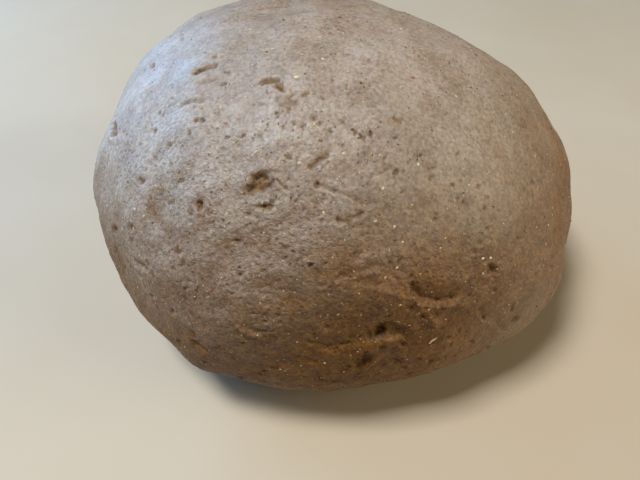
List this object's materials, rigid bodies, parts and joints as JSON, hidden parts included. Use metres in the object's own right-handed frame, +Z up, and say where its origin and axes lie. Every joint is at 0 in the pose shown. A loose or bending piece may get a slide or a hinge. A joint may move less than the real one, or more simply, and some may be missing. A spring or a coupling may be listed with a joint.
{
  "type": "ball of molasses bun dough",
  "caption": "Unbaked ball of brown molasses bun dough, kneaded and rounded, slumped on a flat foot, with folds, torn holes and a pebbly bran-flecked skin.",
  "frame": {"origin": "middle of the ball's bounding box, on the flat foot that it rests on", "axes": "+Z up from the foot; -Y toward the side with the largest tear and the folds; +X to the right of that side"},
  "size_m": [0.1438, 0.1388, 0.0844],
  "materials": {
    "molasses_dough": "raw bread dough, warm mid-brown with darker and paler bran flecks, slightly damp satin skin with tiny pits"
  },
  "bodies": {
    "root": {"dough_ball": "molasses_dough"}
  },
  "joints": []
}
